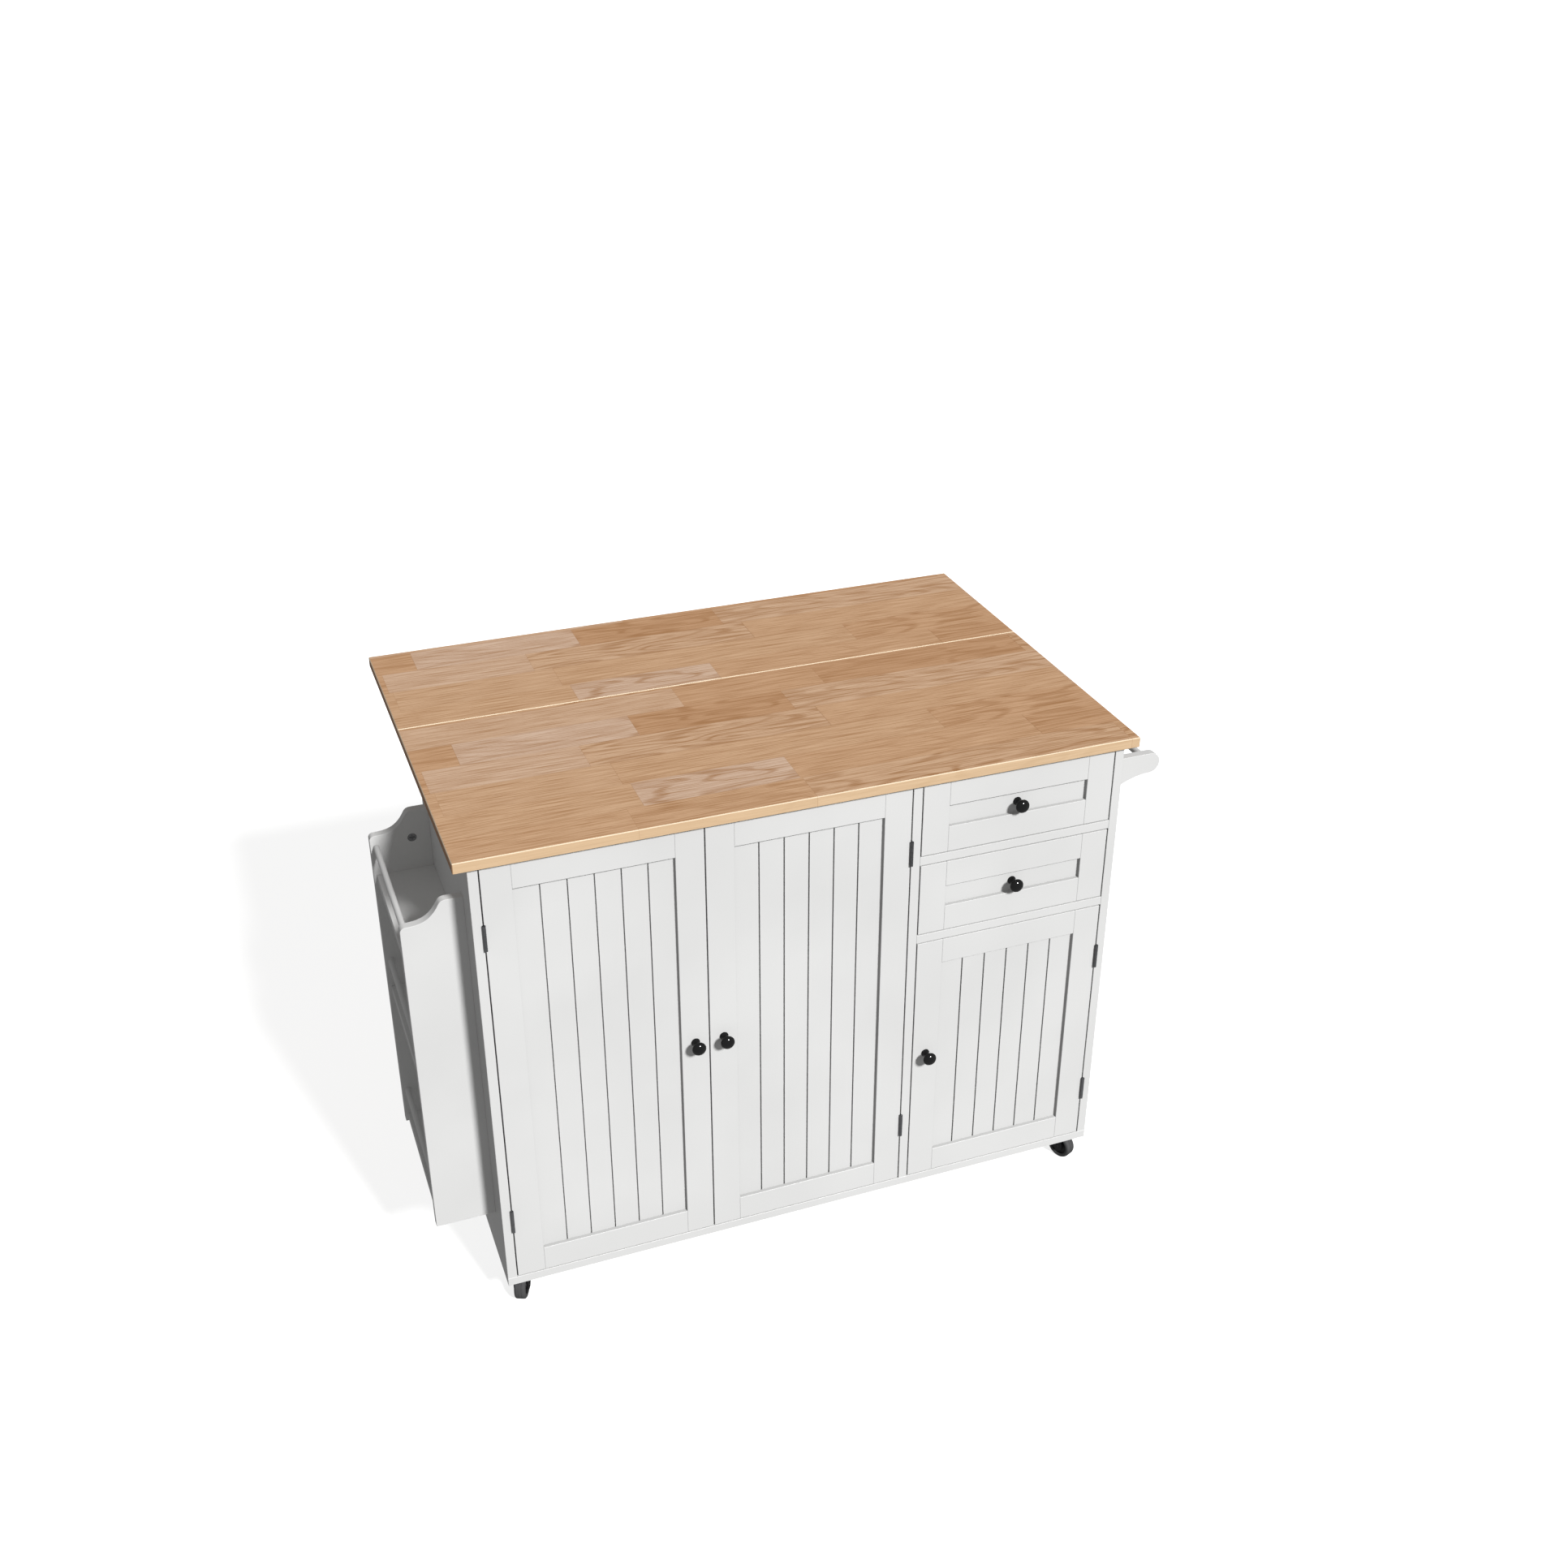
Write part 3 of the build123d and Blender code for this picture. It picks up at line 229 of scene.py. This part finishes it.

    # Long edges show paler side grain, and the ends darker end grain with painted shade on top of it
    facing = addNode(tree, "ShaderNodeSeparateXYZ", {}, {0: coords.outputs["Normal"]})
    sideways = addNode(tree, "ShaderNodeMath", {"operation": "ABSOLUTE"}, {0: facing.outputs["Y"]})
    begin, full = block["facing"]
    onSide = addNode(tree, "ShaderNodeMapRange", {},
                     {0: sideways, 1: begin, 2: full, 3: 0.0, 4: block["edgeShare"]})
    sided = addNode(tree, "ShaderNodeMix", {"data_type": "RGBA"},
                    {0: onSide, 6: pored.outputs[2], 7: block["edgeTone"]})
    endways = addNode(tree, "ShaderNodeMath", {"operation": "ABSOLUTE"}, {0: facing.outputs["X"]})
    onEndGrainAndShade = addNode(tree, "ShaderNodeMapRange", {},
                    {0: endways, 1: begin, 2: full, 3: 0.0, 4: block["endGrainAndShadeShare"]})
    endGrainAndShaded = addNode(tree, "ShaderNodeMix", {"data_type": "RGBA"},
                    {0: onEndGrainAndShade, 6: sided.outputs[2], 7: block["endGrainAndShadeTone"]})

    # Sanded edges lie between level and upright; they get pale wood and a painted highlight
    sloped = addNode(tree, "ShaderNodeMath", {"operation": "PINGPONG"}, {0: facing.outputs["Z"], 1: 0.5})
    begin, full = block["arrisHighlightFrom"]
    onArrisHighlight = addNode(tree, "ShaderNodeMapRange", {},
                      {0: sloped, 1: begin, 2: full, 3: 0.0, 4: block["arrisHighlightShare"]})
    sandedAndHighlit = addNode(tree, "ShaderNodeMix", {"data_type": "RGBA"},
                     {0: onArrisHighlight, 6: endGrainAndShaded.outputs[2], 7: block["arrisPaleAndHighlight"]})

    # Thin glue lines between the rows and where two staves meet end to end
    rowEdge = addNode(tree, "ShaderNodeMath", {"operation": "PINGPONG"}, {0: across, 1: 0.5})
    rowLine = addNode(tree, "ShaderNodeMath", {"operation": "LESS_THAN"},
                      {0: rowEdge, 1: block["glueWidth"] / block["row"] / 2})
    staveEdge = addNode(tree, "ShaderNodeMath", {"operation": "PINGPONG"}, {0: along, 1: 0.5})
    staveLine = addNode(tree, "ShaderNodeMath", {"operation": "LESS_THAN"},
                        {0: staveEdge, 1: block["glueWidth"] / block["length"] / 2})
    line = addNode(tree, "ShaderNodeMath", {"operation": "MAXIMUM"}, {0: rowLine, 1: staveLine})
    lineShare = addNode(tree, "ShaderNodeMath", {"operation": "MULTIPLY"}, {0: line, 1: block["glueShare"]})
    color = addNode(tree, "ShaderNodeMix", {"data_type": "RGBA"},
                    {0: lineShare, 6: sandedAndHighlit.outputs[2], 7: block["glue"]})

    height = addNode(tree, "ShaderNodeMath", {"operation": "SUBTRACT"}, {0: streaks, 1: pores})
    bump = addNode(tree, "ShaderNodeBump", {},
                   {"Strength": block["poreBump"], "Distance": block["poreDepth"], "Height": height})
    low, high = block["roughness"]
    roughness = addNode(tree, "ShaderNodeMapRange", {},
                        {0: streaks, 1: noiseLow, 2: noiseHigh, 3: low, 4: high})
    shader = addNode(tree, "ShaderNodeBsdfPrincipled", {}, {
        "Base Color": color.outputs[2], "Roughness": roughness, "Normal": bump, "IOR": block["ior"],
        "Specular IOR Level": block["gloss"]})
    addNode(tree, "ShaderNodeOutputMaterial", {}, {"Surface": shader})
    return material


# Stoved enamel gives a hard gloss with a little waviness
enamel = {"colors": ("#0B0B0C", "#131314"), "grain": (4 * mm, 4 * mm, 4 * mm), "depth": 0.02 * mm,
          "roughness": (0.08, 0.14), "metallic": 0.0, "ior": 1.52, "coat": 0.6}

# Zinc plate on rolled steel is a bright grey, drawn along the sheet
zinc = {"colors": ("#97989B", "#B6B7BA"), "grain": (6 * mm, 0.5 * mm, 6 * mm), "depth": 0.02 * mm,
        "roughness": (0.28, 0.44), "metallic": 1.0, "ior": 1.5, "coat": 0.0}

# Glass-filled nylon keeps the fine matt grain of its mould
nylon = {"colors": ("#131314", "#1E1E20"), "grain": (0.9 * mm, 0.9 * mm, 0.9 * mm), "depth": 0.03 * mm,
         "roughness": (0.45, 0.60), "metallic": 0.0, "ior": 1.53, "coat": 0.0}

# Thermoplastic rubber is dull and slightly dusty
rubber = {"colors": ("#484849", "#575758"), "grain": (1.1 * mm, 1.1 * mm, 1.1 * mm), "depth": 0.04 * mm,
          "roughness": (0.70, 0.85), "metallic": 0.0, "ior": 1.5, "coat": 0.0}

# Moulded ABS is smooth and a little shiny
catchPlastic = {"colors": ("#DDDDDA", "#E7E7E4"), "grain": (0.8 * mm, 0.8 * mm, 0.8 * mm), "depth": 0.02 * mm,
                "roughness": (0.35, 0.45), "metallic": 0.0, "ior": 1.53, "coat": 0.0}


fine = {
    "broadScale": 0.04,                 # broad clouds are 25 times as wide as the grain
    "bump": 0.4,
    "coatRoughness": 0.06,
}


def makeFineFinish(name, look):
    # A fine grain breaks the highlight, and broad clouds of it shift the tone a little
    material, tree, coords = startMaterial(name)
    place = addNode(tree, "ShaderNodeMapping", {},
                    {"Vector": coords.outputs["Object"], "Scale": [1 / size for size in look["grain"]]})
    grain = addNode(tree, "ShaderNodeTexNoise", {}, {"Vector": place, "Scale": 1.0, "Detail": 3.0})
    broad = addNode(tree, "ShaderNodeTexNoise", {},
                    {"Vector": place, "Scale": fine["broadScale"], "Detail": 2.0})
    first, second = look["colors"]
    color = addNode(tree, "ShaderNodeValToRGB",
                    {"stops": ((cloudLow, first), (cloudHigh, second))}, {"Fac": broad})
    low, high = look["roughness"]
    roughness = addNode(tree, "ShaderNodeMapRange", {},
                        {0: grain, 1: noiseLow, 2: noiseHigh, 3: low, 4: high})
    bump = addNode(tree, "ShaderNodeBump", {},
                   {"Strength": fine["bump"], "Distance": look["depth"], "Height": grain})
    shader = addNode(tree, "ShaderNodeBsdfPrincipled", {}, {
        "Base Color": color, "Roughness": roughness, "Normal": bump, "Metallic": look["metallic"],
        "IOR": look["ior"], "Coat Weight": look["coat"], "Coat Roughness": fine["coatRoughness"]})
    addNode(tree, "ShaderNodeOutputMaterial", {}, {"Surface": shader})
    return material


topLow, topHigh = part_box("fixed_top")
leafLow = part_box("drop_leaf")[0]
finishes = {
    "white_paint": makeSatinLacquer(),
    "black_enamel": makeFineFinish("blackStovedEnamel", enamel),
    "zinc_steel": makeFineFinish("zincPlatedSteel", zinc),
    "black_nylon": makeFineFinish("blackMouldedNylon", nylon),
    "grey_rubber": makeFineFinish("greyRubberTread", rubber),
    "white_plastic": makeFineFinish("whiteMouldedAbs", catchPlastic),
}
# The leaf's rows are the fixed top's from the second on, each from its own left end
topStart = (-topLow.x, block["trim"] - topLow.y, 0)
leafStart = (-leafLow.x, block["row"] + block["trim"] - leafLow.y, 0)
blockFinishes = {
    "fixed_top": makeButcherBlock("oiledButcherBlock", topStart),
    "drop_leaf": makeButcherBlock("oiledButcherBlockLeaf", leafStart),
}
for nodeName, node in nodes.items():
    node.data.materials.clear()
    node.data.materials.append(blockFinishes.get(nodeName) or finishes[slotOf[nodeName]])
print("finishes on", len(nodes), "nodes")


def pickOnly(piece):
    bpy.ops.object.select_all(action="DESELECT")
    piece.select_set(True)
    bpy.context.view_layer.objects.active = piece


def turnPiece(name, profile, facets, hollow):
    # A ring is extruded along Z from station to station; a hollow piece is joined end to start
    bpy.ops.object.select_all(action="DESELECT")
    height, radius = profile[0]
    bpy.ops.mesh.primitive_circle_add(vertices=facets, radius=radius * mm, location=(0, 0, 0))
    piece = bpy.context.object
    piece.name = name
    bpy.ops.object.mode_set(mode="EDIT")
    bpy.ops.mesh.select_mode(type="EDGE")
    bpy.ops.mesh.select_all(action="SELECT")
    bpy.ops.transform.translate(value=(0, 0, height * mm))
    for nextHeight, nextRadius in profile[1:]:
        rise = (nextHeight - height) * mm
        bpy.ops.mesh.extrude_edges_move(TRANSFORM_OT_translate={"value": (0, 0, rise)})
        grow = nextRadius / radius
        bpy.ops.transform.resize(value=(grow, grow, 1), center_override=(0, 0, nextHeight * mm))
        height, radius = nextHeight, nextRadius
    bpy.ops.mesh.select_all(action="DESELECT")
    bpy.ops.mesh.select_non_manifold()
    if hollow:
        bpy.ops.mesh.bridge_edge_loops()
    else:
        bpy.ops.mesh.fill_holes(sides=0)
    bpy.ops.mesh.select_all(action="SELECT")
    bpy.ops.mesh.normals_make_consistent(inside=False)
    bpy.ops.object.mode_set(mode="OBJECT")
    return piece


def placeCopy(master, name, place, direction, slotName, body):
    # A copy with its own mesh, turned from Z to its direction, with its place in its mesh
    pickOnly(master)
    bpy.ops.object.duplicate(linked=False)
    piece = bpy.context.object
    piece.name = name
    piece.rotation_euler = Vector(direction).to_track_quat("Z", "Y").to_euler()
    piece.location = place
    bpy.ops.object.transform_apply(location=True, rotation=True, scale=True)
    piece.data.materials.clear()
    piece.data.materials.append(finishes[slotName])
    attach(piece, body)
    return piece


knob = {
    "length": 27.5 * mm,
    "facets": 64,
    "smooth": 50,                       # degrees, up to which two faces shade as one
    # height and radius in millimetres: flange, neck, throat, swelling head, crown
    "profile": ((0.0, 7.0), (0.3, 7.5), (1.4, 7.5), (1.8, 7.2), (2.6, 6.3), (4.0, 5.2), (6.8, 4.5),
                (9.6, 4.55), (11.4, 4.8), (12.4, 5.4), (13.4, 6.8), (14.8, 8.7), (16.6, 10.6), (18.4, 11.7),
                (20.1, 12.0), (21.8, 11.6), (23.4, 10.6), (25.0, 9.0), (26.3, 6.9), (27.1, 4.6), (27.4, 2.4),
                (27.5, 0.6)),
}
screw = {
    "radius": 4.5,                      # millimetres, as for the height
    "height": 2.0,
    "profile": ((0.0, 1.0), (0.5, 1.0), (0.85, 0.9), (1.0, 0.7)),   # shares of height and radius
    "cross": (5.6 * mm, 1.1 * mm, 1.0 * mm),    # length, width and depth
    "facets": 32,
    "smooth": 35,
}


def modelKnob():
    piece = turnPiece("knobMaster", knob["profile"], knob["facets"], False)
    pickOnly(piece)
    bpy.ops.object.shade_smooth_by_angle(angle=math.radians(knob["smooth"]))
    return piece


def modelScrew():
    # The pan head at the back of each knob, with its cross recess
    height, radius = screw["height"], screw["radius"]
    profile = [(height * up, radius * out) for up, out in screw["profile"]]
    piece = turnPiece("screwMaster", profile, screw["facets"], False)
    length, width, depth = screw["cross"]
    for across, down in ((length, width), (width, length)):
        bpy.ops.object.select_all(action="DESELECT")
        bpy.ops.mesh.primitive_cube_add(size=1, location=(0, 0, height * mm),
                                        scale=(across, down, 2 * depth))
        cutter = bpy.context.object
        cut = piece.modifiers.new("cross", "BOOLEAN")
        cut.operation = "DIFFERENCE"
        cut.solver = "EXACT"
        cut.object = cutter
        pickOnly(piece)
        bpy.ops.object.modifier_apply(modifier=cut.name)
        bpy.data.objects.remove(cutter)
    bpy.ops.object.shade_smooth_by_angle(angle=math.radians(screw["smooth"]))
    return piece


knobMaster = modelKnob()
screwMaster = modelScrew()
for node in [name for name in nodes if name.endswith("_knob")]:
    low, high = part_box(node)
    middle = (low + high) / 2
    foot = (middle.x, low.y + knob["length"], middle.z)
    turned = placeCopy(knobMaster, node + "_turned", foot, (0, -1, 0), "black_enamel", bodyOf[node])
    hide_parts(node)
    under = (middle.x, high.y - screw["height"] * mm, middle.z)
    placeCopy(screwMaster, node + "_screw", under, (0, 1, 0), "zinc_steel", bodyOf[node])
bpy.data.objects.remove(knobMaster)
bpy.data.objects.remove(screwMaster)
print("knobs and their screws placed")

wheel = {
    "facets": 64,
    "smooth": 32,
    # distance from the middle and radius in millimetres, for one half; the other half mirrors it
    "hub": ((-10.0, 3.05), (-10.0, 7.0), (-9.6, 7.6), (-7.0, 8.2), (-6.2, 9.2), (-6.0, 14.8), (-6.6, 16.0),
            (-8.6, 16.5), (-9.0, 17.0)),
    "tyre": ((-9.0, 17.0), (-9.7, 17.6), (-10.0, 18.8), (-10.0, 21.0), (-9.5, 22.8), (-8.2, 24.2),
             (-6.2, 25.0), (-3.4, 25.0), (-3.1, 24.5), (-2.5, 24.5), (-2.2, 25.0)),
}


def modelWheelPart(name, half):
    whole = half + tuple((-distance, radius) for distance, radius in reversed(half))
    piece = turnPiece(name, whole, wheel["facets"], True)
    pickOnly(piece)
    bpy.ops.object.shade_smooth_by_angle(angle=math.radians(wheel["smooth"]))
    return piece


hubMaster = modelWheelPart("hubMaster", wheel["hub"])
tyreMaster = modelWheelPart("tyreMaster", wheel["tyre"])
for corner in ("front_left", "front_right", "rear_left", "rear_right"):
    node = "caster_wheel_" + corner
    low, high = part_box(node)
    axle = jointNamed[corner + "_roll"]["axis"]
    tyre = placeCopy(tyreMaster, "tyre_" + corner, (low + high) / 2, axle, "grey_rubber", bodyOf[node])
    placeCopy(hubMaster, "hub_" + corner, (low + high) / 2, axle, "black_nylon", bodyOf[node])
    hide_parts(node)
bpy.data.objects.remove(hubMaster)
bpy.data.objects.remove(tyreMaster)
print("casters fitted with hubs and tyres")


studio = {
    "floorSize": 80.0,                  # metres
    "floorColors": ("#F2F2F1", "#F5F5F4"),
    "floorCloud": 1.2,
    "floorRoughness": 0.9,
    "floorGlow": 0.74,                  # keeps the floor pale, with a faint shadow
    "fill": 0.205,
    "backdrop": 0.97,
    "key": 3.20,
    "keyWidth": 9.0,                    # degrees across, for soft-edged shadows
    "keyTurn": 17.0,                    # degrees to the right of the front
    "keyRise": 36.0,
    "keyAway": 5.0,
}


def makeFloor():
    # Matt painted studio floor, faintly clouded
    bpy.ops.object.select_all(action="DESELECT")
    bpy.ops.mesh.primitive_plane_add(size=studio["floorSize"], location=(0, 0, 0))
    floor = bpy.context.object
    floor.name = "floor"
    material, tree, coords = startMaterial("mattStudioFloor")
    cloud = addNode(tree, "ShaderNodeTexNoise", {},
                    {"Vector": coords.outputs["Object"], "Scale": studio["floorCloud"]})
    first, second = studio["floorColors"]
    color = addNode(tree, "ShaderNodeValToRGB",
                    {"stops": ((noiseLow, first), (noiseHigh, second))}, {"Fac": cloud})
    shader = addNode(tree, "ShaderNodeBsdfPrincipled", {}, {
        "Base Color": color, "Roughness": studio["floorRoughness"],
        "Emission Color": "#FFFFFF", "Emission Strength": studio["floorGlow"]})
    addNode(tree, "ShaderNodeOutputMaterial", {}, {"Surface": shader})
    floor.data.materials.append(material)
    floor.visible_diffuse = False       # a glowing floor would light the cabinet from below
    floor.visible_glossy = False


def makeLight():
    turn, rise = math.radians(studio["keyTurn"]), math.radians(studio["keyRise"])
    source = Vector((math.sin(turn) * math.cos(rise), -math.cos(turn) * math.cos(rise), math.sin(rise)))
    bpy.ops.object.light_add(type="SUN", location=source * studio["keyAway"])
    key = bpy.context.object
    key.rotation_euler = source.to_track_quat("Z", "Y").to_euler()
    key.data.energy = studio["key"]
    key.data.angle = math.radians(studio["keyWidth"])
    key.data.cycles.max_bounces = 0     # keeps gaps and recesses dark between white faces
    world = bpy.data.worlds.new("softStudio")
    bpy.context.scene.world = world
    world.use_nodes = True
    tree = world.node_tree
    tree.nodes.clear()
    path = addNode(tree, "ShaderNodeLightPath", {}, {})
    strength = addNode(tree, "ShaderNodeMapRange", {}, {
        0: path.outputs["Is Camera Ray"], 1: 0.0, 2: 1.0, 3: studio["fill"], 4: studio["backdrop"]})
    background = addNode(tree, "ShaderNodeBackground", {}, {"Color": "#FFFFFF", "Strength": strength})
    addNode(tree, "ShaderNodeOutputWorld", {}, {"Surface": background})


view = {
    "turn": 20.5,                       # degrees to the left of the front
    "rise": 28.93,
    "distance": 2.801,
    "lens": 40.55,
    "reach": 200,                       # metres, past the far side of the floor
    "aside": -35.5 * mm,                # aim, from the middle of the top's front edge
    "inward": 57.7 * mm,
}


def makeCamera():
    aim = Vector(((topLow.x + topHigh.x) / 2 + view["aside"], topLow.y + view["inward"], topHigh.z))
    turn, rise = math.radians(view["turn"]), math.radians(view["rise"])
    back = Vector((-math.sin(turn) * math.cos(rise), -math.cos(turn) * math.cos(rise), math.sin(rise)))
    bpy.ops.object.camera_add(location=aim + back * view["distance"])
    camera = bpy.context.object
    camera.rotation_euler = (math.pi / 2 - rise, 0, -turn)
    camera.data.lens = view["lens"]
    camera.data.clip_end = view["reach"]
    bpy.context.scene.camera = camera


makeFloor()
makeLight()
makeCamera()
bpy.context.scene.view_settings.view_transform = "Standard"
print("studio ready")
